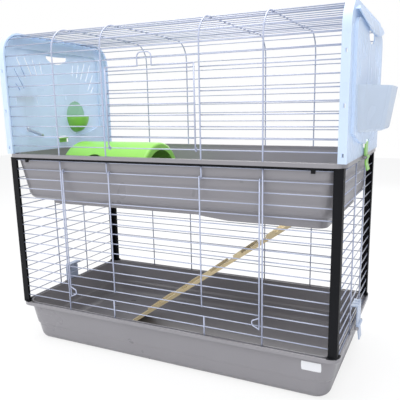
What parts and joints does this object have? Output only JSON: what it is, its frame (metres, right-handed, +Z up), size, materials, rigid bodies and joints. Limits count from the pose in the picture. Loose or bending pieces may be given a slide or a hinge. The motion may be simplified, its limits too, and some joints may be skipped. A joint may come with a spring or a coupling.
{
  "type": "rabbit cage",
  "caption": "Two storey rabbit cage: deep lower tray, wire walls with a large door, upper tray with a wire hood between translucent ends, ramp, hide, feeder and bottle.",
  "frame": {"origin": "centre of the lower tray's flat underside, on the floor", "axes": "+X along the length towards the hay hopper, +Y to the rear, +Z up; the doors face -Y"},
  "size_m": [1.145, 0.5, 0.948],
  "materials": {
    "tray_plastic": "semi gloss taupe grey plastic",
    "black_plastic": "satin black plastic",
    "coated_wire": "pale blue plastic coated steel wire",
    "panel_plastic": "milky translucent pale blue plastic",
    "hopper_plastic": "milky translucent pale lilac blue plastic",
    "green_plastic": "bright green plastic",
    "green_clear": "muted translucent green plastic",
    "blue_grey_plastic": "blue grey plastic",
    "bottle_plastic": "clear blue plastic",
    "steel": "plain steel",
    "pine": "plain pine"
  },
  "bodies": {
    "frame": {"lower_tray": "tray_plastic", "upper_tray": "tray_plastic", "corner_post_front_left": "black_plastic", "corner_post_front_right": "black_plastic", "corner_post_rear_left": "black_plastic", "corner_post_rear_right": "black_plastic", "top_rail_front": "black_plastic", "top_rail_rear": "black_plastic", "lower_front_panel": "coated_wire", "lower_rear_panel": "coated_wire", "lower_left_panel": "coated_wire", "lower_right_panel": "coated_wire", "upper_front_sheet": "coated_wire", "upper_rear_sheet": "coated_wire", "roof_sheet": "coated_wire", "end_panel_right": "panel_plastic", "end_panel_left": "panel_plastic", "hay_hopper": "hopper_plastic", "bottle_cradle": "blue_grey_plastic", "panel_clip_pins": "steel", "tray_clip_pins": "steel"},
    "lower_door": {"lower_door": "coated_wire"},
    "upper_door": {"upper_door": "coated_wire"},
    "feeder": {"feeder_plate": "green_clear", "feeder_bowl": "green_plastic"},
    "bottle": {"bottle_body": "bottle_plastic", "bottle_cap": "blue_grey_plastic", "bottle_spout": "steel"},
    "panel_clip_left": {"panel_clip_left": "green_plastic"},
    "panel_clip_right": {"panel_clip_right": "green_plastic"},
    "tray_clip_left": {"tray_clip_left": "blue_grey_plastic"},
    "tray_clip_right": {"tray_clip_right": "blue_grey_plastic"},
    "ramp": {"ramp_board": "pine", "ramp_battens": "pine", "ramp_hooks": "steel"},
    "hide": {"hide": "green_plastic"}
  },
  "joints": [
    {"name": "lower_door_hinge", "type": "hinge", "parent": "frame", "child": "lower_door", "pos_m": [0, -0.2405, 0.5516], "axis": [-1, 0, 0], "range_deg": [0, 110]},
    {"name": "upper_door_hinge", "type": "hinge", "parent": "frame", "child": "upper_door", "pos_m": [0, -0.2405, 0.62144], "axis": [1, 0, 0], "range_deg": [0, 120]},
    {"name": "feeder_swivel", "type": "hinge", "parent": "frame", "child": "feeder", "pos_m": [-0.5055, 0.078, 0.703], "axis": [0, 0, 1], "range_deg": [0, 180]},
    {"name": "bottle_pull", "type": "slide", "parent": "frame", "child": "bottle", "axis": [-0.9534, 0, 0.3016], "range_m": [0, 0.09]},
    {"name": "panel_clip_left_pivot", "type": "hinge", "parent": "frame", "child": "panel_clip_left", "pos_m": [-0.507, 0, 0.5915], "axis": [0, -1, 0], "range_deg": [0, 18]},
    {"name": "panel_clip_right_pivot", "type": "hinge", "parent": "frame", "child": "panel_clip_right", "pos_m": [0.507, 0, 0.5915], "axis": [0, 1, 0], "range_deg": [0, 18]},
    {"name": "tray_clip_left_pivot", "type": "hinge", "parent": "frame", "child": "tray_clip_left", "pos_m": [-0.507, 0, 0.124], "axis": [0, -1, 0], "range_deg": [0, 18]},
    {"name": "tray_clip_right_pivot", "type": "hinge", "parent": "frame", "child": "tray_clip_right", "pos_m": [0.507, 0, 0.124], "axis": [0, 1, 0], "range_deg": [0, 18]},
    {"name": "ramp_hinge", "type": "hinge", "parent": "frame", "child": "ramp", "pos_m": [0.401, 0, 0.4634], "axis": [0, 1, 0], "range_deg": [0, 20]},
    {"name": "hide_lift", "type": "slide", "parent": "frame", "child": "hide", "axis": [0, 0, 1], "range_m": [0, 0.1]}
  ]
}
